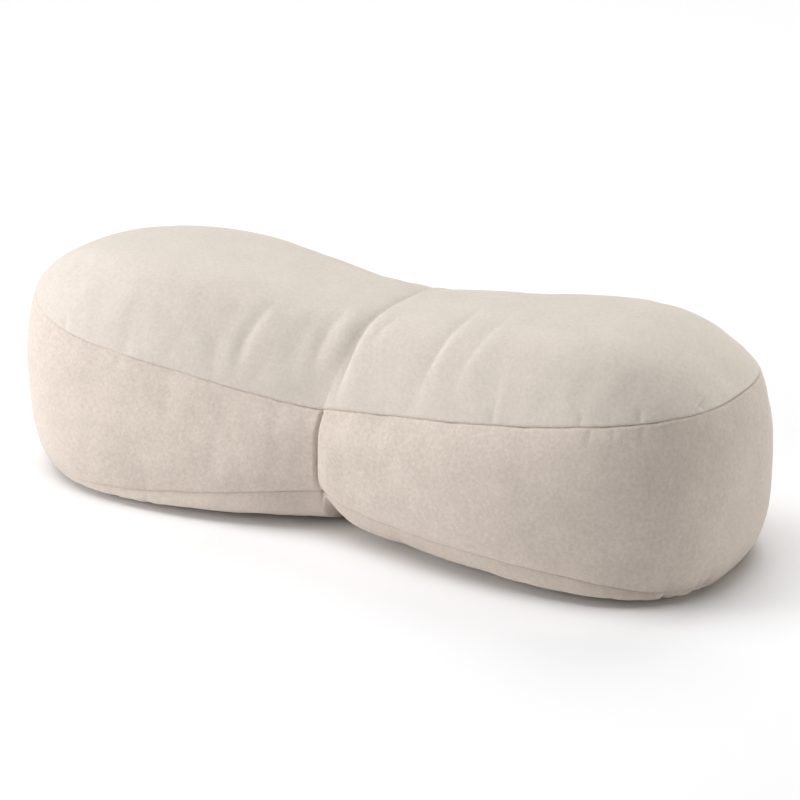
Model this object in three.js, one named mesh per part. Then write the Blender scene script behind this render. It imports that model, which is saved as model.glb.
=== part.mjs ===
// A long neck pillow with two round lobes and a drawn-in waist, sewn like a small bolster:
// a one-piece top, a deep side band in two halves that meet at the waist, and a base panel.
// It lies on its base. Each piece carries the filling behind it, out to the pieces it is sewn
// to, so the four solids together are the filled cushion, parted at the seams alone.
// Millimetres. +X runs along the pillow, -Y is the front, +Z is up, and the floor is z = 0.

import * as THREE from 'three';
import { mergeVertices } from 'three/addons/utils/BufferGeometryUtils.js';

// Plan of the pillow, measured from the waist seams at x = 0
const TOP_REACH = { left: 186, right: 186.5 };     // waist to the lobe's end, along the top seam
const BASE_REACH = { left: 177, right: 185 };      // the same along the base seam
const END_SQUARENESS = { left: 2.55, right: 2.6 }; // 2 is an ellipse, more is a boxier lobe
const SPINE_SHARE = 0.35;                          // length of the crown's level ridge, of a lobe's

// Cross-sections from the waist to the end of each lobe. "at" is the share of the lobe's length.
// topHalf and baseHalf are the half depths at the two seams, before the plan's round end.
// topSeam, baseSeam and crown are heights. bulge is how far the side stands out between its
// seams, flatness how upright it is there, and edgeBulge how far the base's edge stands out,
// or in where it is below 0.
const WAIST = {
  at: 0, topHalf: 53, baseHalf: 58, topSeam: 61, baseSeam: 21, crown: 102,
  bulge: 6, flatness: 4, edgeBulge: 0,
};
const SECTIONS = {
  left: [
    WAIST,
    { at: 0.25, topHalf: 60, baseHalf: 69.5, topSeam: 65, baseSeam: 15.9, crown: 106.1,
      bulge: 4, flatness: 4.2, edgeBulge: 2.5 },
    { at: 0.5, topHalf: 69, baseHalf: 80.5, topSeam: 71, baseSeam: 10, crown: 110.8,
      bulge: 4.3, flatness: 4.2, edgeBulge: 3.2 },
    { at: 0.75, topHalf: 81, baseHalf: 92, topSeam: 77, baseSeam: 5.9, crown: 111.7,
      bulge: 6, flatness: 3.8, edgeBulge: -0.5 },
    { at: 1, topHalf: 93, baseHalf: 98.5, topSeam: 91, baseSeam: 2.4, crown: 116,
      bulge: 6.8, flatness: 3, edgeBulge: -3 },
  ],
  right: [
    WAIST,
    { at: 0.25, topHalf: 59, baseHalf: 62.5, topSeam: 68, baseSeam: 14.3, crown: 105.2,
      bulge: 9, flatness: 4.2, edgeBulge: -2 },
    { at: 0.5, topHalf: 66.5, baseHalf: 72.5, topSeam: 74.5, baseSeam: 13.8, crown: 110.4,
      bulge: 8.3, flatness: 4.2, edgeBulge: 0.2 },
    { at: 0.75, topHalf: 78, baseHalf: 85, topSeam: 82.3, baseSeam: 12.6, crown: 115.8,
      bulge: 4, flatness: 3.8, edgeBulge: 1.6 },
    { at: 1, topHalf: 92.5, baseHalf: 101.5, topSeam: 87.8, baseSeam: 2.6, crown: 112,
      bulge: 8.3, flatness: 3, edgeBulge: -0.7 },
  ],
};
const WAIST_PINCH = { depth: 4, left: 22, right: 7 };  // how deep and how far the base seam is drawn in

// Where the crown dips between the lobes. The line of the dip leaves the waist seams and leans right.
const WAIST_LINE = { middle: 11.4, turn: 0.04, power: 6, reach: 25 };

// How full the pieces are
const CROWN_FULLNESS = { shoulder: 4.45, rise: 0.95 };
const BAND_LOW_BELLY = 1.15;                       // over 1 moves the band's belly down
const EDGE_TURN = 0.34;                            // where the base turns under, of its seam's height
const EDGE_TIGHTNESS = 3;
const UNDERCUT = 22;                               // how far the base panel rolls in before it lies flat
const SEAM_DRAW = 0.8;                             // how far a seam is drawn in between full cloth
const SEAM_GAP = 0.3;                              // the sewn pieces stand this far apart
const WAIST_SQUARENESS_REACH = 12;                 // near the waist the sides push front and back only

// Folds of the top, most of them gathered by the waist seams. Each runs along a Bezier curve in
// plan. depth is the trough's, left the width of its gentle flank and wall that of its steep one,
// where the cloth rolls over it. roll is how high it rolls and reach how far. A crease of 1 makes
// the trough's floor sharp, and 2 round. fadeIn and fadeOut are shares of the fold's run.
const FOLDS = [
  { from: [5, -54.5], bend: [[12, -46], [10.5, -27]], to: [12, -8],
    depth: 1.9, crease: 1.2, left: 2.3, wall: 1.9, roll: 0.8, reach: 14, fadeIn: 0.34, fadeOut: 0.35 },
  { from: [10.3, -24], bend: [[11, -10], [10.6, 8]], to: [12.5, 36],
    depth: 1.7, crease: 1.2, left: 2.8, wall: 1.6, roll: 0.6, reach: 9, fadeIn: 0.25, fadeOut: 0.3 },
  { from: [18, -46], bend: [[20.5, -38], [23, -30]], to: [24, -16],
    depth: 0.5, crease: 1.8, left: 3, wall: 2.8, roll: 0.2, reach: 6, fadeIn: 0.4, fadeOut: 0.5 },
  { from: [-0.5, -50], bend: [[1.5, -40], [1.5, -28]], to: [2, -8],
    depth: -0.6, crease: 2, left: 4.5, wall: 4.5, roll: 0, reach: 5, fadeIn: 0.4, fadeOut: 0.5 },
  { from: [-9, -52], bend: [[-6.5, -44], [-5, -38]], to: [-4.5, -22],
    depth: 0.9, crease: 1.6, left: 4, wall: 4, roll: 0.1, reach: 6, fadeIn: 0.35, fadeOut: 0.5 },
  { from: [-20, -54], bend: [[-17.5, -46], [-16, -40]], to: [-15, -26],
    depth: 0.4, crease: 2, left: 4, wall: 4, roll: 0.1, reach: 6, fadeIn: 0.4, fadeOut: 0.5 },
  { from: [-48, -58], bend: [[-44, -51], [-40, -44]], to: [-36, -26],
    depth: 1, crease: 1.5, left: 4.5, wall: 3, roll: 0.3, reach: 8, fadeIn: 0.3, fadeOut: 0.5 },
  { from: [-60, -60], bend: [[-56, -54], [-52, -49]], to: [-50, -38],
    depth: 0.5, crease: 2, left: 5, wall: 4, roll: 0.1, reach: 8, fadeIn: 0.3, fadeOut: 0.5 },
  { from: [50, -58], bend: [[59.5, -46], [60, -24]], to: [55, 6],
    depth: 1, crease: 1.4, left: 3.2, wall: 2.6, roll: 0.4, reach: 9, fadeIn: 0.3, fadeOut: 0.4 },
  { from: [68, -57], bend: [[77, -46], [79, -28]], to: [75, -2],
    depth: 0.55, crease: 1.4, left: 3.2, wall: 2.8, roll: 0.25, reach: 9, fadeIn: 0.35, fadeOut: 0.45 },
  { from: [94, -66], bend: [[94.3, -62], [94.6, -59]], to: [94, -52],
    depth: 0.6, crease: 1.5, left: 2.6, wall: 1.8, roll: 0.1, reach: 4, fadeIn: 0.2, fadeOut: 0.6 },
  { from: [3, 53], bend: [[9, 48], [12, 42]], to: [12.5, 31],
    depth: 1.9, crease: 1.3, left: 5, wall: 3, roll: 0.8, reach: 10, fadeIn: 0.4, fadeOut: 0.45 },
  { from: [-12, 52], bend: [[-14, 47], [-14, 41]], to: [-12, 30],
    depth: 1, crease: 1.5, left: 6, wall: 4, roll: 0.3, reach: 7, fadeIn: 0.4, fadeOut: 0.5 },
  { from: [26, 55], bend: [[29, 49], [30, 43]], to: [28, 33],
    depth: 0.7, crease: 1.5, left: 6, wall: 4, roll: 0.3, reach: 8, fadeIn: 0.4, fadeOut: 0.5 },
  { from: [-36, 58], bend: [[-38, 52], [-37, 46]], to: [-34, 37],
    depth: 0.7, crease: 1.8, left: 7, wall: 6, roll: 0.2, reach: 8, fadeIn: 0.4, fadeOut: 0.5 },
  { from: [58, 60], bend: [[61, 53], [60, 46]], to: [57, 37],
    depth: 0.7, crease: 1.5, left: 7, wall: 5, roll: 0.3, reach: 8, fadeIn: 0.4, fadeOut: 0.5 },
];
const FOLD_STEPS = 24;

// Mesh density
const SLICES = 120;                                // along the pillow, an even number
const WAIST_CROWDING = 0.7;                        // draws slices towards the waist, where the folds are
const CROWN_ROWS = [0, 0.13, 0.26, 0.39, 0.51, 0.62, 0.72, 0.8, 0.87, 0.925, 0.965, 0.99, 1];
const BAND_ROWS = [0, 0.03, 0.09, 0.18, 0.32, 0.5, 0.67, 0.8, 0.9, 0.965, 1];
const BASE_ROWS = [0, 0.03, 0.09, 0.18, 0.34, 0.6, 1];

const lerp = THREE.MathUtils.lerp;
const WAIST_SLICE = SLICES / 2;

// A measure at any share of the lobe's length: the one polynomial through the rows of its table.
function measure(name, along) {
  const rows = SECTIONS[along < 0 ? 'left' : 'right'];
  const at = Math.abs(along);
  let value = 0;
  for (const row of rows) {
    let weight = row[name];
    for (const other of rows) {
      if (other !== row) weight *= (at - other.at) / (row.at - other.at);
    }
    value += weight;
  }
  return value;
}

// How much of the half depth the lobe's round end leaves at a share of its length
function endRound(along) {
  const power = END_SQUARENESS[along < 0 ? 'left' : 'right'];
  return (1 - Math.abs(along) ** power) ** (1 / power);
}

function bySide(sides, along) {
  return along < 0 ? sides.left : sides.right;
}

// Slices stand across the pillow from its left end (-1) past the waist (0) to its right (1).
const slices = [];
for (let i = 0; i <= SLICES; i++) {
  const even = (2 * i) / SLICES - 1;
  const crowded = even * (1 - WAIST_CROWDING) + WAIST_CROWDING * even ** 3;
  const along = Math.sin((crowded * Math.PI) / 2);
  const baseX = along * bySide(BASE_REACH, along);
  const pinch = WAIST_PINCH.depth * Math.exp(-((baseX / bySide(WAIST_PINCH, along)) ** 2));
  slices.push({
    topX: along * bySide(TOP_REACH, along),
    topY: measure('topHalf', along) * endRound(along),
    topSeam: measure('topSeam', along),
    baseX,
    baseY: (measure('baseHalf', along) - pinch) * endRound(along),
    baseSeam: measure('baseSeam', along),
    bulge: measure('bulge', along),
    flatness: measure('flatness', along),
    edgeBulge: measure('edgeBulge', along),
  });
}

// The outline of the back half in plan, between the top seam (share 0) and the base seam (share 1)
function outlinePoint(i, share) {
  const slice = slices[i];
  return new THREE.Vector2(lerp(slice.topX, slice.baseX, share), lerp(slice.topY, slice.baseY, share));
}

function outward(i, share) {
  if (i === 0) return new THREE.Vector2(-1, 0);
  if (i === SLICES) return new THREE.Vector2(1, 0);
  if (i === WAIST_SLICE) return new THREE.Vector2(0, 1);
  const run = outlinePoint(i + 1, share).sub(outlinePoint(i - 1, share)).normalize();
  const squaring = 1 - Math.exp(-Math.abs(slices[i].topX) / WAIST_SQUARENESS_REACH);
  return new THREE.Vector2(-run.y * squaring, run.x);
}

// A point that stands out from the outline. face is -1 at the front and 1 at the back.
function standOut(i, share, face, out, z) {
  const point = outlinePoint(i, share).addScaledVector(outward(i, share), out);
  return new THREE.Vector3(point.x, point.y * face, z);
}

// The side band, from the top seam (share 0) to the base seam (share 1)
function bandPoint(i, share, face) {
  const { topSeam, baseSeam, bulge, flatness } = slices[i];
  const z = lerp(topSeam - SEAM_GAP / 2, baseSeam + SEAM_GAP / 2, share);
  if (share === 0 || share === 1) return standOut(i, share, face, -SEAM_DRAW, z);
  const belly = 1 - Math.abs(1 - 2 * share ** BAND_LOW_BELLY) ** flatness;
  return standOut(i, share, face, bulge * belly, z);
}

// The base panel, from the base seam (share 0) round its edge to its flat (share 1)
function basePoint(i, share, face) {
  const { baseSeam, edgeBulge } = slices[i];
  const atSeam = (1 - share) ** 2;
  const atTurn = 2 * EDGE_TIGHTNESS * share * (1 - share);
  const atFloor = share ** 2;
  const whole = atSeam + atTurn + atFloor;
  const z = ((baseSeam - SEAM_GAP / 2) * (atSeam + EDGE_TURN * atTurn)) / whole;
  if (share === 0) return standOut(i, 1, face, -SEAM_DRAW, z);
  return standOut(i, 1, face, (edgeBulge * atTurn - UNDERCUT * atFloor) / whole, z);
}

// x measured from the line of the dip between the lobes
function fromWaistLine(x, y) {
  const lean = WAIST_LINE.middle + WAIST_LINE.turn * y;
  const line = lean * Math.max(0, 1 - Math.abs(y / WAIST.topHalf) ** WAIST_LINE.power);
  return x - line * Math.exp(-(((x - line) / WAIST_LINE.reach) ** 2));
}

// The crown falls from its level ridge (share 0) to the top seam (share 1) over outlines that
// grow from the one to the other. This finds the outline through a place in plan.
function crownHeight(planX, y) {
  const x = fromWaistLine(planX, y);
  let [inner, outer] = [0, 1];
  let along = 0;
  for (let halving = 0; halving < 30; halving++) {
    const share = (inner + outer) / 2;
    along = x / (bySide(TOP_REACH, x) * lerp(SPINE_SHARE, 1, share));
    const inside = Math.abs(along) < 1 && Math.abs(y) < share * measure('topHalf', along) * endRound(along);
    if (inside) outer = share;
    else inner = share;
  }
  along = x / (bySide(TOP_REACH, x) * lerp(SPINE_SHARE, 1, outer));
  const rise = (1 - outer ** CROWN_FULLNESS.shoulder) ** CROWN_FULLNESS.rise;
  const seam = measure('topSeam', THREE.MathUtils.clamp(along, -1, 1)) + SEAM_GAP / 2;
  return lerp(seam, measure('crown', x / bySide(TOP_REACH, x)), rise);
}

// Height of one fold over the smooth crown, at a place in plan
function foldHeight(fold, run, x, y) {
  let nearest = { distance: Infinity };
  for (let i = 0; i < FOLD_STEPS; i++) {
    const [dx, dy] = [run[i + 1].x - run[i].x, run[i + 1].y - run[i].y];
    const [offX, offY] = [x - run[i].x, y - run[i].y];
    const span = THREE.MathUtils.clamp((offX * dx + offY * dy) / (dx * dx + dy * dy), 0, 1);
    const distance = Math.hypot(offX - dx * span, offY - dy * span);
    if (distance < nearest.distance) {
      const right = Math.sign(offX * dy - offY * dx) * Math.sign(dy);
      nearest = { distance, share: (i + span) / FOLD_STEPS, across: distance * right };
    }
  }
  const { across, share } = nearest;
  const flank = Math.exp(-(Math.abs(across / (across < 0 ? fold.left : fold.wall)) ** fold.crease));
  const rolled = across < 0 ? 0 : (1 - flank) * Math.exp(-((across / fold.reach) ** 2));
  const { smoothstep } = THREE.MathUtils;
  const strength = smoothstep(share, 0, fold.fadeIn) * smoothstep(1 - share, 0, fold.fadeOut);
  return strength * (fold.roll * rolled - fold.depth * flank);
}

const foldRuns = FOLDS.map((fold) => {
  const points = [fold.from, ...fold.bend, fold.to].map(([x, y]) => new THREE.Vector3(x, y, 0));
  return new THREE.CubicBezierCurve3(...points).getPoints(FOLD_STEPS);
});

function allFolds(x, y) {
  return FOLDS.reduce((sum, fold, i) => sum + foldHeight(fold, foldRuns[i], x, y), 0);
}

// Slices of the crown from the front seam to the back, with the folds raised off the surface
function crownSlices() {
  const shares = [...CROWN_ROWS.slice(1).reverse().map((share) => -share), ...CROWN_ROWS];
  const last = shares.length - 1;
  const smooth = slices.map(({ topX, topY }, i) => shares.map((share, row) => {
    if (row === 0) return standOut(i, 0, -1, -SEAM_DRAW, slices[i].topSeam + SEAM_GAP / 2);
    if (row === last) return standOut(i, 0, 1, -SEAM_DRAW, slices[i].topSeam + SEAM_GAP / 2);
    return new THREE.Vector3(topX, topY * share, crownHeight(topX, topY * share));
  }));
  return smooth.map((slice, i) => slice.map((point, row) => {
    if (i === 0 || i === SLICES) return slice[0];
    if (row === 0 || row === last) return point;
    const along = new THREE.Vector3().subVectors(smooth[i + 1][row], smooth[i - 1][row]);
    const across = new THREE.Vector3().subVectors(slice[row + 1], slice[row - 1]);
    return point.clone().addScaledVector(along.cross(across).normalize(), allFolds(point.x, point.y));
  }));
}

function pushTriangle(positions, ...corners) {
  for (const corner of corners) positions.push(corner.x, corner.y, corner.z);
}

// Skins the space between closed slices, with triangles along the shorter diagonals.
function loft(sliceList) {
  const positions = [];
  const count = sliceList[0].length;
  for (let i = 0; i + 1 < sliceList.length; i++) {
    const [here, beyond] = [sliceList[i], sliceList[i + 1]];
    for (let row = 0; row < count; row++) {
      const next = (row + 1) % count;
      const [a, b, c, d] = [here[row], beyond[row], beyond[next], here[next]];
      if (a.distanceToSquared(c) <= b.distanceToSquared(d)) {
        pushTriangle(positions, a, b, c);
        pushTriangle(positions, a, c, d);
      } else {
        pushTriangle(positions, a, b, d);
        pushTriangle(positions, b, c, d);
      }
    }
  }
  return positions;
}

// Closes a slice whose second half mirrors its first, with strips from front to back.
function slicePlate(slice, flipped) {
  const positions = [];
  const count = slice.length;
  for (let row = 0; row < count / 2 - 1; row++) {
    const [a, b, c, d] = [slice[row], slice[row + 1], slice[count - 2 - row], slice[count - 1 - row]];
    pushTriangle(positions, ...(flipped ? [a, c, b] : [a, b, c]));
    pushTriangle(positions, ...(flipped ? [a, d, c] : [a, c, d]));
  }
  return positions;
}

// A closed body: equal corners are merged and triangles that have shrunk to a line are dropped.
function closedBody(positions) {
  let geometry = new THREE.BufferGeometry();
  geometry.setAttribute('position', new THREE.Float32BufferAttribute(positions, 3));
  geometry = mergeVertices(geometry, 1e-3);
  const kept = [];
  for (let i = 0; i < geometry.index.count; i += 3) {
    const [a, b, c] = geometry.index.array.slice(i, i + 3);
    if (a !== b && b !== c && c !== a) kept.push(a, b, c);
  }
  geometry.setIndex(kept);
  geometry.computeVertexNormals();
  return geometry;
}

function sewnPiece(name, positions, color, roughness) {
  const material = new THREE.MeshStandardMaterial({ color, roughness, metalness: 0 });
  const mesh = new THREE.Mesh(closedBody(positions), material);
  mesh.name = name;
  return mesh;
}

function topPanel() {
  return sewnPiece('top_panel', loft(crownSlices()), 0xded5cb, 0.92);
}

function basePanel() {
  const baseSlices = slices.map((slice, i) => [
    ...BASE_ROWS.map((share) => basePoint(i, share, 1)),
    ...BASE_ROWS.map((share) => basePoint(i, share, -1)).reverse(),
  ]);
  return sewnPiece('base_panel', loft(baseSlices), 0xd3c5b9, 0.95);
}

// One half of the side band. Its cut end at the waist stands half a gap off the waist's plane.
function sideBand(name, first, last) {
  const side = first === WAIST_SLICE ? 1 : -1;
  const bandSlices = [];
  for (let i = first; i <= last; i++) {
    const slice = [
      ...BAND_ROWS.map((share) => bandPoint(i, share, 1)),
      ...BAND_ROWS.map((share) => bandPoint(i, share, -1)).reverse(),
    ];
    if (i === WAIST_SLICE) slice.forEach((point) => { point.x = (side * SEAM_GAP) / 2; });
    bandSlices.push(slice);
  }
  const cut = side > 0 ? slicePlate(bandSlices[0], false) : slicePlate(bandSlices.at(-1), true);
  return sewnPiece(name, [...loft(bandSlices), ...cut], 0xd8cbc1, 0.97);
}

// The pillow stands on its base, centred over the origin.
const pillow = new THREE.Group();
pillow.name = 'neck_pillow';
pillow.add(
  topPanel(),
  sideBand('side_band_left', 0, WAIST_SLICE),
  sideBand('side_band_right', WAIST_SLICE, SLICES),
  basePanel(),
);
const box = new THREE.Box3().setFromObject(pillow);
const middle = box.getCenter(new THREE.Vector3());
pillow.position.set(-middle.x, -middle.y, -box.min.z);

export default pillow;
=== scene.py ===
import math

import bmesh
import bpy
import numpy as np
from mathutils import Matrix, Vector, bvhtree, kdtree


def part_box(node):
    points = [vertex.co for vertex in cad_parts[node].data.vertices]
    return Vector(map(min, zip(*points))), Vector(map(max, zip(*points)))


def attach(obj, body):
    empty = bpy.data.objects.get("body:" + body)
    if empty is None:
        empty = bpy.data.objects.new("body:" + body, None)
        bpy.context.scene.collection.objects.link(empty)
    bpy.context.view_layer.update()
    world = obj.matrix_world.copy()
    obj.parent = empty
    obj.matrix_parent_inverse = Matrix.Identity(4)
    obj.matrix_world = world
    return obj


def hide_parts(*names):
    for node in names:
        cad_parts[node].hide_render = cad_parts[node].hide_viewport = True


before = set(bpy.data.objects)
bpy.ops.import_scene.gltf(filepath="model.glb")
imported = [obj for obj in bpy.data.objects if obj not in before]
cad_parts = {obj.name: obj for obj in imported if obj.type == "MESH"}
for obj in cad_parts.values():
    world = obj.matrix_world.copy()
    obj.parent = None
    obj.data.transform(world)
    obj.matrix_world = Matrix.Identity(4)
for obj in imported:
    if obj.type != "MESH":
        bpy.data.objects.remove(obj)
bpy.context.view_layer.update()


# The filled cover
# The sewn pieces make one closed bag of cloth, and the loose filling presses each piece out
# between its seams, which hold. A skin over the frame's solids is let out here as cloth, and
# every piece below takes its small swells and slack from it.

SKIN_VOXEL = 0.004
SKIN_SLACK = -0.02            # negative, so the cloth is cut larger than the shape it covers
FILL_PRESSURE = 4
FILL_FRAMES = 20
SEAM_HOLD = 0.0035            # the skin this near a seam keeps its place
FLOOR_HOLD = 0.001            # and so does the skin this near the floor
WIDE_SWELL_PASSES = 40        # smoothing that leaves the wide swell, which the frame has already
SWELL_CAP = 0.0016
SWELL_SHARE = 0.3             # the close thick cloth lies smoother than the skin does
SWELL_REACH = 0.006           # a point takes its swell from the skin this near to it
FAR_WEIGHT = 1e-6             # and has none where no skin is near
TINY = 1e-9


def joined_skin():
    """One closed mesh round the frame's four solids."""
    copies = []
    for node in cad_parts.values():
        copy = bpy.data.objects.new("skin", node.data.copy())
        bpy.context.scene.collection.objects.link(copy)
        copies.append(copy)
    with bpy.context.temp_override(active_object=copies[0], selected_editable_objects=copies):
        bpy.ops.object.join()
    skin = copies[0]
    remesh = skin.modifiers.new("one skin", "REMESH")
    remesh.mode = "VOXEL"
    remesh.voxel_size = SKIN_VOXEL
    with bpy.context.temp_override(object=skin, active_object=skin):
        bpy.ops.object.modifier_apply(modifier=remesh.name)
    return skin


def points_of(mesh):
    flat = np.zeros(len(mesh.vertices) * 3)
    mesh.vertices.foreach_get("co", flat)
    return flat.reshape(-1, 3)


def at_seams(points):
    """True for the points that lie where two of the frame's solids meet."""
    distances = []
    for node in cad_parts.values():
        corners = [vertex.co for vertex in node.data.vertices]
        faces = [tuple(face.vertices) for face in node.data.polygons]
        surface = bvhtree.BVHTree.FromPolygons(corners, faces)
        distances.append([surface.find_nearest(Vector(point))[3] for point in points])
    return np.sort(np.array(distances), axis=0)[1] < SEAM_HOLD


def wide_part(values, edges):
    """The part of a field on a mesh that is left when its short waves are smoothed away."""
    neighbours = np.bincount(edges.ravel(), minlength=len(values))[:, None]
    for _ in range(WIDE_SWELL_PASSES):
        total = np.zeros_like(values)
        np.add.at(total, edges[:, 0], values[edges[:, 1]])
        np.add.at(total, edges[:, 1], values[edges[:, 0]])
        values = total / neighbours
    return values


def fill_skin():
    """Lets the skin out as pressed cloth. Returns its points and how far each one swells."""
    skin = joined_skin()
    start = points_of(skin.data)
    held = at_seams(start) | (start[:, 2] < FLOOR_HOLD)
    group = skin.vertex_groups.new(name="held")
    group.add([int(index) for index in np.flatnonzero(held)], 1, "REPLACE")
    cloth = skin.modifiers.new("filling", "CLOTH")
    cloth.settings.vertex_group_mass = group.name
    cloth.settings.use_pressure = True
    cloth.settings.uniform_pressure_force = FILL_PRESSURE
    cloth.settings.shrink_min = SKIN_SLACK
    cloth.settings.effector_weights.gravity = 0
    cloth.collision_settings.use_collision = False
    for step in range(1, FILL_FRAMES + 1):
        bpy.context.scene.frame_set(step)
    depsgraph = bpy.context.evaluated_depsgraph_get()
    moved = points_of(skin.evaluated_get(depsgraph).data) - start
    edges = np.zeros(len(skin.data.edges) * 2, dtype=int)
    skin.data.edges.foreach_get("vertices", edges)
    swell = moved - wide_part(moved, edges.reshape(-1, 2))
    length = np.linalg.norm(swell, axis=1, keepdims=True)
    swell *= SWELL_SHARE * np.minimum(1, SWELL_CAP / np.maximum(length, TINY))
    bpy.context.scene.frame_set(1)
    bpy.data.objects.remove(skin)
    return start, swell


class Filling:
    """The swell that the filling gives to any point of the cover."""

    def __init__(self, points, swell):
        self.swell = swell
        self.near = kdtree.KDTree(len(points))
        for index, point in enumerate(points):
            self.near.insert(point, index)
        self.near.balance()

    def at(self, point):
        total = Vector((0, 0, 0))
        weights = FAR_WEIGHT
        for _, index, distance in self.near.find_range(point, SWELL_REACH):
            weight = (1 - (distance / SWELL_REACH) ** 2) ** 2
            total += weight * self.swell[index]
            weights += weight
        return total / weights


def filled(grid):
    """A grid of points with the filling's swell added."""
    if filling is None:
        return grid
    flat = grid.reshape(-1, 3)
    return (flat + np.array([filling.at(Vector(point)) for point in flat])).reshape(grid.shape)


filling = None
skin_points, skin_swell = fill_skin()
filling = Filling(skin_points, [Vector(swell) for swell in skin_swell])


# Base panel
# A flat panel of the cover's cloth, cut to the pillow's two-lobed outline. Its edge turns up to
# the base seam, low at the ends and higher at the waist, and its middle lies flat on the floor.

MM = 0.001
STATIONS = (0, 0.25, 0.5, 0.75, 1)     # shares of a lobe's length, from the waist to its end
BASE_REACH = {"left": 0.177, "right": 0.185}
END_SQUARENESS = {"left": 2.55, "right": 2.6}
BASE_HALF_DEPTH = {
    "left": (0.058, 0.0695, 0.0805, 0.092, 0.0985),
    "right": (0.058, 0.0625, 0.0725, 0.085, 0.1015),
}
BASE_SEAM_HEIGHT = {
    "left": (0.021, 0.0159, 0.010, 0.0059, 0.0024),
    "right": (0.021, 0.0143, 0.0138, 0.0126, 0.0026),
}
# How far the panel's edge stands out past its seam, or in where it is below 0
EDGE_BULGE = {
    "left": (0, 0.0025, 0.0032, -0.0005, -0.003),
    "right": (0, -0.002, 0.0002, 0.0016, -0.0007),
}
EDGE_TURN = 0.34                       # where the edge turns under, as a share of its seam's height
EDGE_TIGHTNESS = 3                     # how closely the edge keeps to its turn
UNDERCUT = 0.022                       # how far the panel rolls in before it lies flat
UNDER_ROWS = (
    0, 0.01, 0.02, 0.032, 0.048, 0.07, 0.1, 0.14, 0.19, 0.25, 0.32, 0.4, 0.5, 0.6, 0.7, 0.8, 0.9, 1,
)
FLAT_ROWS = 10                         # from the rolled edge to the middle of the underside
WAIST_PINCH = {"depth": 0.004, "left": 0.022, "right": 0.007}
# Beside the waist seam the right lobe's edge turns in sooner, close under the base seam
WAIST_TUCK = {"turn": 0.85, "reach": 0.014, "start": 0.002}
WAIST_AT = (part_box("side_band_left")[1].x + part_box("side_band_right")[0].x) / 2
WAIST_COLUMNS = (0, 0.15, 0.3, 0.5, 0.75, 1.1, 1.5, 2, 2.6, 3.3, 4.1, 5)   # mm off the waist seam
WAIST_SINK = 0.0022                    # how deep the waist seam is drawn in, and over what width
WAIST_WIDTH = 0.0008
WAIST_SINK_RUN = 0.003                 # how far its sink runs on below the base seam
LOBE_COLUMNS = 300                     # from the waist columns to a lobe's end
COLUMN_CROWDING = 0.5                  # how much closer the columns stand at the waist than half way
SQUARING_REACH = 0.012                 # near the waist the cloth is pushed front and back only
SEAM_WIDTH = 0.0006                    # half the width of a seam's channel
SEAM_ROUNDNESS = 1.4                   # a power: the channel's floor is sharp at 1, round at 2
BASE_SINK = {
    "left": (0.0003, 0.0002, 0.0002, 0.0002, 0.0002),
    "right": (0.0003, 0.0002, 0.0002, 0.0002, 0.0002),
}
SEAM_RIPPLE = ((0.0095, 0.00005), (0.019, 0.0001), (0.041, 0.00012))   # wave lengths and heights

# Small gathers that run off a seam, in millimetres: where each is along the pillow from the waist,
# how deep and wide it is, and how far it runs. The widths too are taken along the pillow, so they
# are small close to a lobe's end, where the seam runs across it.
GATHER_COLUMNS = ("at", "depth", "width", "run")
GATHER_START = 0.0012
GATHER_LIFT = 0.7                      # a gather lifts the edge by this share of its depth
GATHER_IN_BAND = 0.3                   # the share of a base gather that shows above the seam
BASE_GATHERS = {
    "front": (
        (-105, 1.6, 2.2, 6), (-95, 1.2, 1.6, 5), (-86, 1.8, 2, 6), (33, 0.8, 2, 5),
        (46, 1.8, 2.5, 7), (62, 0.7, 2, 5), (82, 0.8, 1.8, 5), (98, 0.6, 1.8, 5),
        (134, 0.9, 2.2, 6), (155, 1.2, 1.8, 6), (166, 0.8, 1.5, 5), (174.2, 2.6, 0.9, 7),
        (177.3, 1.4, 0.7, 6), (181.5, 3.6, 0.55, 7), (183, 6, 0.4, 7),
    ),
    "back": (
        (-150, 1.2, 2, 6), (-118, 0.8, 2, 5), (-64, 1, 2.5, 6), (-28, 0.8, 2, 5),
        (41, 1, 2.2, 6), (92, 0.8, 2, 5), (128, 1.3, 2, 6), (160, 1, 1.8, 6),
    ),
}
JOIN_DISTANCE = 1e-7


def lobe_columns():
    """Shares of a lobe's length from the waist to its end, close together at the waist seam."""
    first = np.arcsin(np.array(WAIST_COLUMNS) * MM / BASE_REACH["left"])
    run = np.linspace(0, 1, LOBE_COLUMNS)[1:]
    run = (run + COLUMN_CROWDING * run**2) / (1 + COLUMN_CROWDING)
    rest = first[-1] + (math.pi / 2 - first[-1]) * run
    return np.sin(np.concatenate([first, rest]))


def measure(table, along):
    """A measure at shares of the lobes' lengths: one polynomial through each lobe's stations."""
    curves = {side: np.polyfit(STATIONS, rows, len(STATIONS) - 1) for side, rows in table.items()}
    left, right = np.polyval(curves["left"], -along), np.polyval(curves["right"], along)
    return np.where(along < 0, left, right)


def by_side(pair, along):
    return np.where(along < 0, pair["left"], pair["right"])


def end_round(along):
    """How much of the half depth a lobe's round end leaves."""
    power = by_side(END_SQUARENESS, along)
    return np.maximum(0, 1 - np.abs(along) ** power) ** (1 / power)


def ripple(x):
    """The slight rise and fall of a seam that is sewn through soft cloth."""
    return sum(height * np.sin(2 * math.pi * x / wave) for wave, height in SEAM_RIPPLE)


def base_seam(along):
    """The back half of the base seam, measured from the waist."""
    x = along * by_side(BASE_REACH, along)
    pinch = WAIST_PINCH["depth"] * np.exp(-((x / by_side(WAIST_PINCH, along)) ** 2))
    y = (measure(BASE_HALF_DEPTH, along) - pinch) * end_round(along)
    return np.stack([x, y, measure(BASE_SEAM_HEIGHT, along) + ripple(x)], axis=-1)


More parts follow.
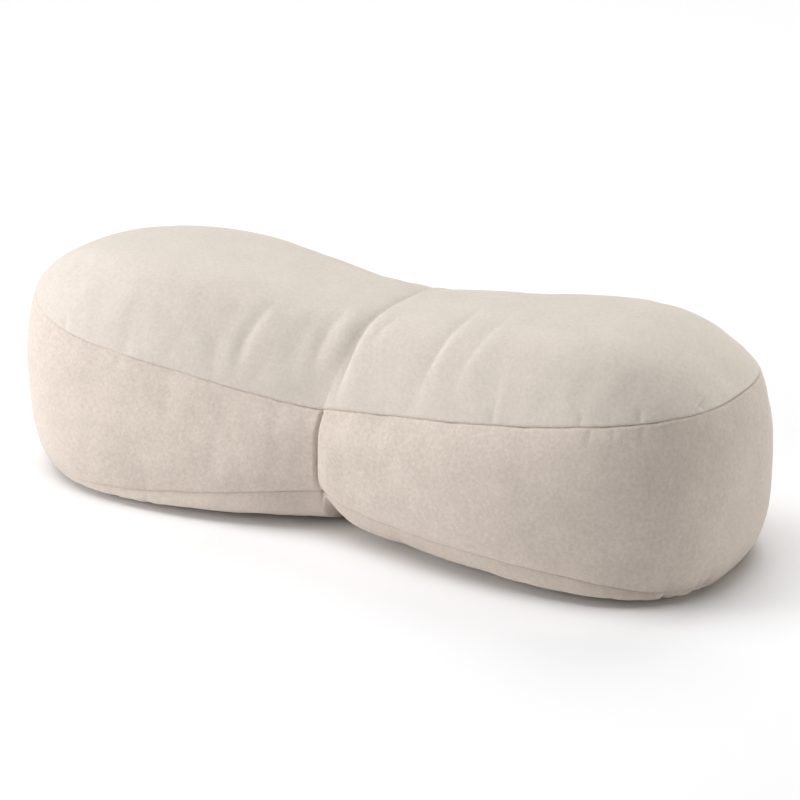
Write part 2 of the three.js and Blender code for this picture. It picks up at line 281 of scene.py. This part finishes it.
def outward(outline):
    """Level directions square to the back half of an outline. Its columns are the first axis."""
    x, y = outline[..., 0], outline[..., 1]
    run_x, run_y = np.gradient(x, axis=0), np.gradient(y, axis=0)
    length = np.hypot(run_x, run_y)
    squaring = 1 - np.exp(-np.abs(x) / SQUARING_REACH)
    at_end = y < TINY
    out_x = np.where(at_end, np.sign(x), -run_y / length * squaring)
    out_y = np.where(at_end, 0, run_x / length)
    return np.stack([out_x, out_y, np.zeros_like(x)], axis=-1)


def sink(distance, depth, width):
    """How far the cloth is drawn in at a distance from a seam."""
    return depth * np.exp(-((distance / width) ** SEAM_ROUNDNESS))


def gathers(rows, x, distance):
    """How far small gathers draw the cloth in, at a distance from their seam."""
    total = np.zeros(np.broadcast(x, distance).shape)
    for row in rows:
        gather = {name: size * MM for name, size in zip(GATHER_COLUMNS, row)}
        across = (x - gather["at"]) / gather["width"]
        total += gather["depth"] * np.exp(-(across**2) - distance / gather["run"])
    return total * (1 - np.exp(-((distance / GATHER_START) ** 2)))


def smooth_step(value):
    value = np.clip(value, 0, 1)
    return value * value * (3 - 2 * value)


def distance_down(grid):
    """Lengths of cloth down each column from its first point."""
    steps = np.linalg.norm(np.diff(grid, axis=1), axis=2)
    return np.concatenate([np.zeros((len(grid), 1)), np.cumsum(steps, axis=1)], axis=1)


def both_halves(half):
    """Columns that run round from the back to the front. The front half is made as a back one."""
    front = half("front") * np.array([1, -1, 1])
    return np.concatenate([half("back"), front[:, ::-1]], axis=1)


def cloth_mesh(name, grid, cut_column=None):
    """A closed mesh from columns of points that run right round it. Its UV map is the cloth laid
    flat, in metres. A cut column, where a piece ends at the waist, is closed by strips."""
    columns, rows = grid.shape[:2]
    corner = np.arange(columns * rows).reshape(columns, rows)
    here, beyond = corner[:-1], corner[1:]
    sides = [here, beyond, np.roll(beyond, -1, axis=1), np.roll(here, -1, axis=1)]
    faces = np.stack(sides, axis=-1).reshape(-1, 4)
    if cut_column is not None:
        back, front = corner[cut_column, : rows // 2], corner[cut_column, rows // 2 :][::-1]
        strips = np.stack([back[:-1], back[1:], front[1:], front[:-1]], axis=-1)
        faces = np.concatenate([faces, strips])
    seam_steps = np.linalg.norm(np.diff(grid[:, 0], axis=0), axis=1)
    runs = np.concatenate([[0], np.cumsum(seam_steps)])
    along_seam = np.broadcast_to(runs[:, None], (columns, rows))
    laid = np.stack([along_seam, distance_down(grid)], axis=-1)
    mesh = bpy.data.meshes.new(name)
    mesh.from_pydata((grid.reshape(-1, 3) + [WAIST_AT, 0, 0]).tolist(), [], faces.tolist())
    layout = mesh.uv_layers.new(name="cloth")
    layout.data.foreach_set("uv", laid.reshape(-1, 2)[faces.ravel()].ravel())
    shaped = bmesh.new()
    shaped.from_mesh(mesh)
    bmesh.ops.remove_doubles(shaped, verts=shaped.verts, dist=JOIN_DISTANCE)
    bmesh.ops.recalc_face_normals(shaped, faces=shaped.faces)
    shaped.to_mesh(mesh)
    shaped.free()
    mesh.polygons.foreach_set("use_smooth", [True] * len(mesh.polygons))
    return mesh


def sewn_piece(name, mesh, node, material):
    """The finished piece, in place of its plain solid."""
    piece = bpy.data.objects.new(name, mesh)
    bpy.context.scene.collection.objects.link(piece)
    mesh.materials.append(material)
    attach(piece, "root")
    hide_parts(node)


one_lobe = lobe_columns()
pillow_columns = np.concatenate([-one_lobe[::-1], one_lobe[1:]])


def base_half(side):
    seam = base_seam(pillow_columns)[:, None]
    x = seam[..., 0]
    tuck = np.exp(-((x / WAIST_TUCK["reach"]) ** 2)) * smooth_step(x / WAIST_TUCK["start"])
    turn = EDGE_TURN + (WAIST_TUCK["turn"] - EDGE_TURN) * tuck
    run = np.array(UNDER_ROWS)[None, :]
    at_seam, at_turn, at_floor = (1 - run) ** 2, 2 * EDGE_TIGHTNESS * run * (1 - run), run**2
    whole = at_seam + at_turn + at_floor
    bulge = measure(EDGE_BULGE, pillow_columns)[:, None]
    out = (bulge * at_turn - UNDERCUT * at_floor) / whole
    height = seam[..., 2] * (at_seam + turn * at_turn) / whole
    level = outward(seam)
    edge = seam * [1, 1, 0] + level * out[..., None] + height[..., None] * [0, 0, 1]
    down = distance_down(edge)
    drawn = gathers(BASE_GATHERS[side], x, down) * at_turn / whole
    edge = edge + drawn[..., None] * [0, 0, GATHER_LIFT]
    drawn = drawn + sink(down, measure(BASE_SINK, pillow_columns)[:, None], SEAM_WIDTH)
    drawn = drawn + sink(np.abs(x), WAIST_SINK, WAIST_WIDTH) * np.exp(-down / WAIST_SINK_RUN)
    edge = edge - level * drawn[..., None]
    across = np.linspace(1, 0, FLAT_ROWS, endpoint=False)[None, 1:, None]
    same = np.ones_like(across)
    flat = edge[:, -1:] * np.concatenate([same, across, same], axis=-1)
    return np.concatenate([edge, flat], axis=1)


OBJECT_PLACE = 3                       # numbers of sockets that have no names of their own
FIRST_COLOR = 6
SECOND_COLOR = 7
BLENDED_COLOR = 2


class Shading:
    """A value on its way through a material. Its operators add the Math nodes they stand for."""

    def __init__(self, tree, socket=None):
        self.tree = tree
        self.socket = socket

    def node(self, kind, settings=None, inputs=None, output=0):
        """Adds a node, gives it its settings, then its inputs, and returns one of its outputs."""
        added = self.tree.nodes.new(kind)
        for setting, value in (settings or {}).items():
            setattr(added, setting, value)
        for socket, value in (inputs or {}).items():
            if isinstance(value, Shading):
                self.tree.links.new(value.socket, added.inputs[socket])
            else:
                added.inputs[socket].default_value = value
        return Shading(self.tree, added.outputs[output])

    def math(self, operation, first, second):
        return self.node("ShaderNodeMath", {"operation": operation}, {0: first, 1: second})

    def __add__(self, other):
        return self.math("ADD", self, other)

    def __radd__(self, other):
        return self.math("ADD", other, self)

    def __sub__(self, other):
        return self.math("SUBTRACT", self, other)

    def __rsub__(self, other):
        return self.math("SUBTRACT", other, self)

    def __mul__(self, other):
        return self.math("MULTIPLY", self, other)

    def __rmul__(self, other):
        return self.math("MULTIPLY", other, self)

    def noise(self, place, scale, detail=2.0, roughness=0.5):
        sockets = {"Vector": place, "Scale": scale, "Detail": detail, "Roughness": roughness}
        return self.node("ShaderNodeTexNoise", inputs=sockets)

    def stretched(self, place, stretch):
        return self.node("ShaderNodeVectorMath", {"operation": "MULTIPLY"}, {0: place, 1: stretch})

    def blend(self, share, first, second):
        """A colour between two others."""
        sockets = {"Factor": share, FIRST_COLOR: first, SECOND_COLOR: second}
        return self.node("ShaderNodeMix", {"data_type": "RGBA"}, sockets, output=BLENDED_COLOR)

    def into(self, shader, socket):
        self.tree.links.new(self.socket, shader.inputs[socket])


# The cloth's grain. A scale is about how many marks there are to a metre, and a share how much
# they lighten or darken the cloth, of the depth that each cloth has.
FIBRE_SCALE = 1500
THREAD_SCALES = (1500, 420)            # across a thread and along it
GRAIN_SHARE = 1.3                      # of the fibres and threads together
TUFTS = {"scale": 560, "share": 1.2}
CLOUDS = {"scale": 60, "share": 0.6}
DRIFTS = {"scale": 14, "share": 0.35}
FINE_DETAIL = {"detail": 3, "roughness": 0.6}
CLOTH_ROUGHNESS = 0.95
CLOTH_GLOSS = 0.15
NAP_SHEEN = {"Sheen Weight": 0.35, "Sheen Roughness": 0.45, "Sheen Tint": (1, 0.98, 0.96, 1)}
GRAIN_RELIEF = {"Distance": 0.00025, "Strength": 0.5}


def brushed_cloth(name, shade, depth, weave_share):
    """Close brushed cloth: short fibres over a fine even weave, with faint clouds where the nap
    lies another way."""
    material = bpy.data.materials.new(name)
    material.use_nodes = True
    shader = material.node_tree.nodes["Principled BSDF"]
    shader.inputs["Roughness"].default_value = CLOTH_ROUGHNESS
    shader.inputs["Specular IOR Level"].default_value = CLOTH_GLOSS
    for socket, value in NAP_SHEEN.items():
        shader.inputs[socket].default_value = value
    start = Shading(material.node_tree)
    place = start.node("ShaderNodeTexCoord", output=OBJECT_PLACE)
    laid = start.node("ShaderNodeUVMap", {"uv_map": "cloth"})
    fibres = start.noise(place, FIBRE_SCALE, **FINE_DETAIL)
    warp = start.noise(start.stretched(laid, (*THREAD_SCALES, 1)), scale=1, detail=1)
    weft = start.noise(start.stretched(laid, (*THREAD_SCALES[::-1], 1)), scale=1, detail=1)
    tufts = start.noise(place, TUFTS["scale"], **FINE_DETAIL)
    clouds = start.noise(place, CLOUDS["scale"], detail=3, roughness=0.55)
    drifts = start.noise(place, DRIFTS["scale"])
    grain = fibres * (1 - weave_share) + (warp + weft) * (weave_share / 2)
    close = (grain - 0.5) * GRAIN_SHARE + (tufts - 0.5) * TUFTS["share"]
    wide = (clouds - 0.5) * CLOUDS["share"]
    light = close + wide + (drifts - 0.5) * DRIFTS["share"] + 0.5
    dark_shade = [channel * (1 - depth) for channel in shade]
    light_shade = [min(1, channel * (1 + depth)) for channel in shade]
    start.blend(light, (*dark_shade, 1), (*light_shade, 1)).into(shader, "Base Color")
    start.node("ShaderNodeBump", inputs={"Height": grain, **GRAIN_RELIEF}).into(shader, "Normal")
    return material


# The base cloth's own colour, made a little lighter as painted light: the lift offsets the shade that
# the band's belly casts on the base panel's edge strip.
BASE_SHADE_WITH_PAINTED_LIGHT = (0.655, 0.567, 0.5)

base_cloth_with_painted_light = brushed_cloth("base cloth with painted light", BASE_SHADE_WITH_PAINTED_LIGHT, depth=0.12, weave_share=0.5)
base_mesh = cloth_mesh("base cover", filled(both_halves(base_half)))
sewn_piece("base_cover", base_mesh, "base_panel", base_cloth_with_painted_light)


# Side bands
# Two long strips of thicker brushed cloth, a half for each lobe. Each runs round its lobe and is
# sewn to the other at the waist, front and back, to the top panel above and to the base below.

TOP_REACH = {"left": 0.186, "right": 0.1865}
TOP_HALF_DEPTH = {
    "left": (0.053, 0.060, 0.069, 0.081, 0.093),
    "right": (0.053, 0.059, 0.0665, 0.078, 0.0925),
}
TOP_SEAM_HEIGHT = {
    "left": (0.061, 0.065, 0.071, 0.077, 0.091),
    "right": (0.061, 0.068, 0.0745, 0.0823, 0.0878),
}
BAND_BULGE = {
    "left": (0.006, 0.004, 0.0043, 0.006, 0.0068),
    "right": (0.006, 0.009, 0.0083, 0.004, 0.0083),
}
LOW_BELLY = 1.15                       # over 1 moves the band's belly down
# Powers: a belly is round at 2, and flatter in its middle the more there is
BELLY_FLATNESS = {"left": (4, 4.2, 4.2, 3.8, 3), "right": (4, 4.2, 4.2, 3.8, 3)}
SEAM_ROWS = (0, 0.1, 0.2, 0.32, 0.46, 0.64, 0.88, 1.2, 1.7, 2.4, 3.2, 4.1, 5.1)   # mm off a seam
BAND_ROWS = 28                         # from a seam's rows to the middle of the band
WAIST_SINK_START = 0.002               # the waist seam sinks over this much, below the top seam
TOP_SINK = {
    "left": (0.0008, 0.0006, 0.0005, 0.0006, 0.0008),
    "right": (0.0008, 0.0008, 0.0010, 0.0012, 0.0011),
}
TOP_GATHERS = {
    "front": (
        (-159, 0.6, 1.8, 5), (-142, 0.6, 1.8, 5), (-107, 0.5, 2, 5), (94, 0.5, 1.6, 5),
        (118, 0.3, 2, 5), (142.5, 0.7, 1.4, 5), (152.5, 0.4, 1.2, 4), (164, 0.8, 1.4, 5),
        (173, 0.4, 1.2, 4), (182.5, 0.7, 1.2, 5),
    ),
    "back": (
        (-152, 0.6, 1.8, 5), (-121, 0.5, 2, 5), (-84, 0.4, 2, 5), (66, 0.4, 2, 5),
        (109, 0.5, 1.8, 5), (139, 0.6, 1.5, 5), (168, 0.7, 1.4, 5),
    ),
}


def top_seam(along):
    """The back half of the top seam, measured from the waist."""
    x = along * by_side(TOP_REACH, along)
    y = measure(TOP_HALF_DEPTH, along) * end_round(along)
    return np.stack([x, y, measure(TOP_SEAM_HEIGHT, along) + ripple(x)], axis=-1)


def rows_between(length):
    """Shares of each length across a strip, close together at both of its seams."""
    near = np.array(SEAM_ROWS) * MM / length[:, None]
    inner = near[:, -1:] + (0.5 - near[:, -1:]) * np.linspace(0, 1, BAND_ROWS)[1:]
    first = np.concatenate([near, inner], axis=1)
    return np.concatenate([first, 1 - first[:, -2::-1]], axis=1)


def band_half(side):
    top, base = top_seam(pillow_columns)[:, None], base_seam(pillow_columns)[:, None]
    share = rows_between(np.linalg.norm(top - base, axis=-1)[:, 0])[..., None]
    sheet = top + (base - top) * share
    x = sheet[..., 0]
    level = outward(sheet)
    bulge = measure(BAND_BULGE, pillow_columns)[:, None, None]
    flatness = measure(BELLY_FLATNESS, pillow_columns)[:, None, None]
    band = sheet + level * bulge * (1 - np.abs(1 - 2 * share**LOW_BELLY) ** flatness)
    down = distance_down(band)
    up = down[:, -1:] - down
    drawn = sink(down, measure(TOP_SINK, pillow_columns)[:, None], SEAM_WIDTH)
    drawn += sink(up, measure(BASE_SINK, pillow_columns)[:, None], SEAM_WIDTH)
    from_base = GATHER_IN_BAND * gathers(BASE_GATHERS[side], x, up)
    drawn += gathers(TOP_GATHERS[side], x, down) + from_base
    drawn += sink(np.abs(x), WAIST_SINK, WAIST_WIDTH) * np.clip(down / WAIST_SINK_START, 0, 1)
    return band - level * drawn[..., None]


BAND_SHADE = (0.641, 0.56, 0.494)

band_cloth = brushed_cloth("band cloth", BAND_SHADE, depth=0.16, weave_share=0.6)
whole_band = filled(both_halves(band_half))
waist_column = len(one_lobe) - 1
left_band = cloth_mesh("left band", whole_band[: waist_column + 1], cut_column=-1)
right_band = cloth_mesh("right band", whole_band[waist_column:], cut_column=0)
sewn_piece("band_cover_left", left_band, "side_band_left", band_cloth)
sewn_piece("band_cover_right", right_band, "side_band_right", band_cloth)


# Top panel
# One piece of soft suede-like cloth over both lobes, crowned by the filling. The waist seams
# gather it, so folds run in from them across the top, and it puckers a little along its seam.

CROWN_HEIGHT = {
    "left": (0.102, 0.1061, 0.1108, 0.1117, 0.116),
    "right": (0.102, 0.1052, 0.1104, 0.1158, 0.112),
}
WAIST_LINE = {"middle": 0.0114, "turn": 0.04, "power": 6, "reach": 0.025}   # the crown dips here
SPINE_SHARE = 0.35                     # length of the crown's level ridge, of a lobe's
CROWN_SHOULDER = 4.45                  # powers that set how round the crown is near its seam
CROWN_RISE = 0.95
CROWN_SEAM_ROWS = (0, 0.05, 0.1, 0.16, 0.24, 0.34, 0.46, 0.62, 0.85, 1.2, 1.7, 2.4, 3.2)
CROWN_ROWS = 56                        # from a seam's rows to the middle
TIP_COLUMNS_LEFT_OUT = 4               # the columns nearest a lobe's end are closer than is of use
TIP_ROOM = 3                           # there, a seam's rows take up no more than a third
HALVINGS = 26
SLOPE_STEP = 0.0002
SEAM_SAMPLES = 8001

# Folds of the top, in millimetres from the waist. Each runs along a Bezier curve in plan. depth
# is the trough's, left the width of its gentle flank and wall that of its steep one, where the
# cloth rolls over it. roll is how high it rolls and reach how far. A crease of 1 makes the trough's
# floor sharp, and 2 round. fade_in and fade_out are shares of the fold's run.
FOLD_COLUMNS = (
    "start", "bend", "bend_on", "end", "depth", "crease",
    "left", "wall", "roll", "reach", "fade_in", "fade_out",
)
FOLDS = (
    ((5, -54.5), (12, -46), (10.5, -27), (12, -8), 1.9, 1.2, 2.3, 1.9, 0.8, 14, 0.34, 0.35),
    ((10.3, -24), (11, -10), (10.6, 8), (12.5, 36), 1.7, 1.2, 2.8, 1.6, 0.6, 9, 0.25, 0.3),
    ((18, -46), (20.5, -38), (23, -30), (24, -16), 0.5, 1.8, 3, 2.8, 0.2, 6, 0.4, 0.5),
    ((-0.5, -50), (1.5, -40), (1.5, -28), (2, -8), -0.6, 2, 4.5, 4.5, 0, 5, 0.4, 0.5),
    ((-9, -52), (-6.5, -44), (-5, -38), (-4.5, -22), 0.9, 1.6, 4, 4, 0.1, 6, 0.35, 0.5),
    ((-20, -54), (-17.5, -46), (-16, -40), (-15, -26), 0.4, 2, 4, 4, 0.1, 6, 0.4, 0.5),
    ((-48, -58), (-44, -51), (-40, -44), (-36, -26), 1, 1.5, 4.5, 3, 0.3, 8, 0.3, 0.5),
    ((-60, -60), (-56, -54), (-52, -49), (-50, -38), 0.5, 2, 5, 4, 0.1, 8, 0.3, 0.5),
    ((50, -58), (59.5, -46), (60, -24), (55, 6), 1, 1.4, 3.2, 2.6, 0.4, 9, 0.3, 0.4),
    ((68, -57), (77, -46), (79, -28), (75, -2), 0.55, 1.4, 3.2, 2.8, 0.25, 9, 0.35, 0.45),
    ((94, -66), (94.3, -62), (94.6, -59), (94, -52), 0.6, 1.5, 2.6, 1.8, 0.1, 4, 0.2, 0.6),
    ((139.5, -63.5), (138.6, -62), (137.8, -60.5), (136, -57), 0.8, 1.3, 1.8, 1.2, 0.1, 3.5, 0.2, 0.7),
    ((151.5, -60.5), (151, -59), (150.3, -57.5), (149.5, -55), 0.35, 1.5, 1.8, 1.2, 0.1, 3, 0.2, 0.7),
    ((163.8, -55), (162.8, -53), (161.5, -51), (159.5, -48), 0.8, 1.3, 1.8, 1.2, 0.1, 3.5, 0.2, 0.7),
    ((181, -34), (179.5, -34), (178, -34), (175.5, -34), 0.3, 1.5, 1.6, 1.2, 0.1, 3, 0.2, 0.7),
    ((183.5, -29), (182, -29.3), (180, -29.8), (177, -30.5), 0.6, 1.4, 1.8, 1.2, 0.1, 3, 0.2, 0.7),
    ((-140.5, -63.2), (-141.8, -61.2), (-143, -60), (-145, -57), 0.7, 1.4, 1.7, 1.3, 0.1, 3, 0.2, 0.6),
    ((-105.5, -67), (-104.5, -64.5), (-103, -62), (-100, -57), 0.4, 1.8, 3, 2.5, 0.1, 4, 0.2, 0.6),
    ((-154, -58), (-157, -54.5), (-159, -52), (-161, -48), 0.3, 1.8, 2.6, 2, 0.1, 3, 0.2, 0.7),
    ((3, 53), (9, 48), (12, 42), (12.5, 31), 1.9, 1.3, 5, 3, 0.8, 10, 0.4, 0.45),
    ((-12, 52), (-14, 47), (-14, 41), (-12, 30), 1, 1.5, 6, 4, 0.3, 7, 0.4, 0.5),
    ((26, 55), (29, 49), (30, 43), (28, 33), 0.7, 1.5, 6, 4, 0.3, 8, 0.4, 0.5),
    ((-36, 58), (-38, 52), (-37, 46), (-34, 37), 0.7, 1.8, 7, 6, 0.2, 8, 0.4, 0.5),
    ((58, 60), (61, 53), (60, 46), (57, 37), 0.7, 1.5, 7, 5, 0.3, 8, 0.4, 0.5),
    ((-84, 66), (-86, 61), (-86, 55), (-84, 48), 0.4, 1.8, 4, 3, 0.1, 5, 0.2, 0.6),
    ((109, 66), (110, 61), (110, 56), (108, 49), 0.5, 1.6, 3, 2.4, 0.2, 4, 0.2, 0.6),
)
FOLD_MARGIN = 3                        # widths from a fold beyond which it leaves the cloth as it is
FOLD_STEPS = 40


def from_waist_line(x, y):
    """x measured from the line of the dip between the lobes, which leans right between its seams."""
    lean = WAIST_LINE["middle"] + WAIST_LINE["turn"] * y
    share = np.abs(y) / TOP_HALF_DEPTH["left"][0]
    line = lean * np.maximum(0, 1 - share ** WAIST_LINE["power"])
    return x - line * np.exp(-(((x - line) / WAIST_LINE["reach"]) ** 2))


def crown_height(x, y):
    """Height of the smooth crown. It falls from its ridge to the seam over outlines that grow
    from the one to the other, so the outline through each place is found by halving."""
    x = from_waist_line(x, y)
    inner, outer = np.zeros_like(x), np.ones_like(x)
    reach = by_side(TOP_REACH, x)
    for _ in range(HALVINGS):
        share = (inner + outer) / 2
        along = x / (reach * (SPINE_SHARE + (1 - SPINE_SHARE) * share))
        near = np.clip(along, -1, 1)
        half_depth = measure(TOP_HALF_DEPTH, near) * end_round(near)
        inside = (np.abs(along) < 1) & (np.abs(y) < share * half_depth)
        outer = np.where(inside, share, outer)
        inner = np.where(inside, inner, share)
    along = np.clip(x / (reach * (SPINE_SHARE + (1 - SPINE_SHARE) * outer)), -1, 1)
    rise = (1 - outer**CROWN_SHOULDER) ** CROWN_RISE
    seam = measure(TOP_SEAM_HEIGHT, along)
    return seam + (measure(CROWN_HEIGHT, x / reach) - seam) * rise


def fold_height(fold, x, y):
    """Height of one fold over the smooth crown, in metres."""
    row = dict(zip(FOLD_COLUMNS, fold))
    left, wall, reach = row["left"] * MM, row["wall"] * MM, row["reach"] * MM
    share = np.linspace(0, 1, FOLD_STEPS + 1)[:, None]
    corners = [np.array(row[name]) * MM for name in ("start", "bend", "bend_on", "end")]
    powers = [(1 - share) ** 3, 3 * share * (1 - share) ** 2, 3 * share**2 * (1 - share), share**3]
    run = sum(corner * power for corner, power in zip(corners, powers))
    low, high = run.min(axis=0), run.max(axis=0)
    margin = FOLD_MARGIN * max(left, wall, reach)
    close = (x > low[0] - margin) & (x < high[0] + margin)
    close &= (y > low[1] - margin) & (y < high[1] + margin)
    nearest = np.full(close.sum(), np.inf)
    across, along = np.zeros_like(nearest), np.zeros_like(nearest)
    for step in range(FOLD_STEPS):
        go_x, go_y = run[step + 1] - run[step]
        off_x, off_y = x[close] - run[step, 0], y[close] - run[step, 1]
        span = np.clip((off_x * go_x + off_y * go_y) / (go_x**2 + go_y**2), 0, 1)
        distance = np.hypot(off_x - go_x * span, off_y - go_y * span)
        right = np.sign(off_x * go_y - off_y * go_x) * np.sign(go_y)
        closer = distance < nearest
        nearest = np.where(closer, distance, nearest)
        across = np.where(closer, distance * right, across)
        along = np.where(closer, (step + span) / FOLD_STEPS, along)
    flank = np.exp(-(np.abs(across / np.where(across < 0, left, wall)) ** row["crease"]))
    rolled = np.where(across < 0, 0, (1 - flank) * np.exp(-((across / reach) ** 2)))
    strength = smooth_step(along / row["fade_in"]) * smooth_step((1 - along) / row["fade_out"])
    height = np.zeros(x.shape)
    height[close] = strength * (row["roll"] * rolled - row["depth"] * flank) * MM
    return height


def top_grid():
    kept = np.ones(len(pillow_columns), dtype=bool)
    kept[1 : 1 + TIP_COLUMNS_LEFT_OUT] = kept[-1 - TIP_COLUMNS_LEFT_OUT : -1] = False
    columns = pillow_columns[kept]
    seam = top_seam(columns)
    half_depth = seam[:, 1:2]
    near = np.array(CROWN_SEAM_ROWS) * MM
    near = near * np.minimum(1, half_depth / (TIP_ROOM * near[-1]))
    inner = near[:, -1:] + (half_depth - near[:, -1:]) * np.linspace(0, 1, CROWN_ROWS)[1:]
    back = half_depth - np.concatenate([near, inner], axis=1)
    y = np.concatenate([back, -back[:, -2::-1]], axis=1)
    x = np.broadcast_to(seam[:, :1], y.shape)
    height = crown_height(x, y)
    rise_x = crown_height(x + SLOPE_STEP, y) - crown_height(x - SLOPE_STEP, y)
    rise_y = crown_height(x, y + SLOPE_STEP) - crown_height(x, y - SLOPE_STEP)
    slope_x, slope_y = rise_x / (2 * SLOPE_STEP), rise_y / (2 * SLOPE_STEP)
    normal = np.stack([-slope_x, -slope_y, np.ones_like(x)], axis=-1)
    normal /= np.linalg.norm(normal, axis=-1, keepdims=True)
    crown = np.stack([x, y, height], axis=-1)
    relief = sum(fold_height(fold, x, y) for fold in FOLDS)
    distance, inward = from_top_seam(crown)
    relief = relief * (1 - np.exp(-((distance / GATHER_START) ** 2)))
    along = np.clip(x / by_side(TOP_REACH, x), -1, 1)
    drawn = sink(distance, measure(TOP_SINK, along), SEAM_WIDTH)
    return crown + normal * relief[..., None] + inward * drawn[..., None]


def from_top_seam(points):
    """Distances of points from the top seam, and the level way in from the seam's nearest point."""
    fine = np.sin(np.linspace(-math.pi / 2, math.pi / 2, SEAM_SAMPLES))
    seam = top_seam(fine)
    inward = -outward(seam)
    seam = np.concatenate([seam, seam * [1, -1, 1]])
    inward = np.concatenate([inward, inward * [1, -1, 1]])
    tree = kdtree.KDTree(len(seam))
    for index, point in enumerate(seam):
        tree.insert(point, index)
    tree.balance()
    found = [tree.find(point)[1:] for point in points.reshape(-1, 3)]
    nearest = np.array([index for index, _ in found])
    distance = np.array([length for _, length in found])
    return distance.reshape(points.shape[:2]), inward[nearest].reshape(points.shape)


TOP_SHADE = (0.665, 0.598, 0.534)

top_cloth = brushed_cloth("top cloth", TOP_SHADE, depth=0.11, weave_share=0.3)
top_mesh = cloth_mesh("top cover", filled(top_grid()))
sewn_piece("top_cover", top_mesh, "top_panel", top_cloth)


# Floor, light and camera
# A plain white floor under wide soft light from overhead, the left and the back, with a weaker
# one on the right, and the camera at the photograph's angle.

FLOOR_SIZE = 12
FLOOR_SHADE = (0.93, 0.93, 0.94)
FLOOR_ROUGHNESS = 0.9
ROOM_LIGHT = 0.05
CAMERA_AZIMUTH = math.radians(31)
CAMERA_ELEVATION = math.radians(20.4)
CAMERA_DISTANCE = 1.3
CAMERA_LENS = 122.4
CAMERA_TARGET = Vector((WAIST_AT + 0.010, 0, 0.051))

floor_mesh = bpy.data.meshes.new("floor")
edge = FLOOR_SIZE / 2
floor_corners = [(-edge, -edge, 0), (edge, -edge, 0), (edge, edge, 0), (-edge, edge, 0)]
floor_mesh.from_pydata(floor_corners, [], [(0, 1, 2, 3)])
floor = bpy.data.objects.new("floor", floor_mesh)
bpy.context.scene.collection.objects.link(floor)
floor_material = bpy.data.materials.new("white floor")
floor_material.use_nodes = True
floor_shader = floor_material.node_tree.nodes["Principled BSDF"]
floor_shader.inputs["Base Color"].default_value = (*FLOOR_SHADE, 1)
floor_shader.inputs["Roughness"].default_value = FLOOR_ROUGHNESS
floor_shader.inputs["Specular IOR Level"].default_value = 0
floor_mesh.materials.append(floor_material)

world = bpy.data.worlds.new("white room")
world.use_nodes = True
background = world.node_tree.nodes["Background"]
background.inputs["Color"].default_value = (1, 1, 1, 1)
background.inputs["Strength"].default_value = ROOM_LIGHT
bpy.context.scene.world = world


def soft_light(name, place, size, power, color):
    """A square light panel that faces the pillow."""
    panel = bpy.data.lights.new(name, "AREA")
    panel.size = size
    panel.energy = power
    panel.color = color
    light = bpy.data.objects.new(name, panel)
    light.location = place
    light.rotation_mode = "QUATERNION"
    light.rotation_quaternion = (Vector(place) - CAMERA_TARGET).to_track_quat("Z", "Y")
    bpy.context.scene.collection.objects.link(light)


soft_light("left window", (-1.53, -0.56, 2.42), 1.5, 25, (1, 1, 1))
soft_light("near left", (-0.68, -0.47, 0.26), 0.4, 1.8, (1, 1, 0.99))
soft_light("near front left", (-0.53, -0.63, 0.26), 0.4, 1.7, (1, 1, 0.99))
soft_light("low front left", (-0.29, -0.80, 0.08), 0.25, 0.4, (1, 1, 0.99))
soft_light("left back", (-1.50, 1.79, 1.71), 1.5, 4.5, (1, 1, 1))
soft_light("back", (-0.39, 2.6, 2.72), 2.3, 45, (1, 1, 1))
soft_light("overhead", (-0.14, -0.14, 4), 2.6, 82, (1, 1, 1))
soft_light("right", (1.50, 1.05, 0.32), 0.6, 8.4, (1, 0.99, 0.95))
soft_light("front right", (1.81, 0.32, 0.32), 0.6, 2.5, (1, 0.98, 0.9))

to_camera = Vector((
    math.sin(CAMERA_AZIMUTH) * math.cos(CAMERA_ELEVATION),
    -math.cos(CAMERA_AZIMUTH) * math.cos(CAMERA_ELEVATION),
    math.sin(CAMERA_ELEVATION),
))
camera = bpy.data.objects.new("camera", bpy.data.cameras.new("camera"))
camera.data.lens = CAMERA_LENS
camera.location = CAMERA_TARGET + to_camera * CAMERA_DISTANCE
camera.rotation_mode = "QUATERNION"
camera.rotation_quaternion = to_camera.to_track_quat("Z", "Y")
bpy.context.scene.collection.objects.link(camera)
bpy.context.scene.camera = camera
bpy.context.scene.view_settings.view_transform = "Standard"
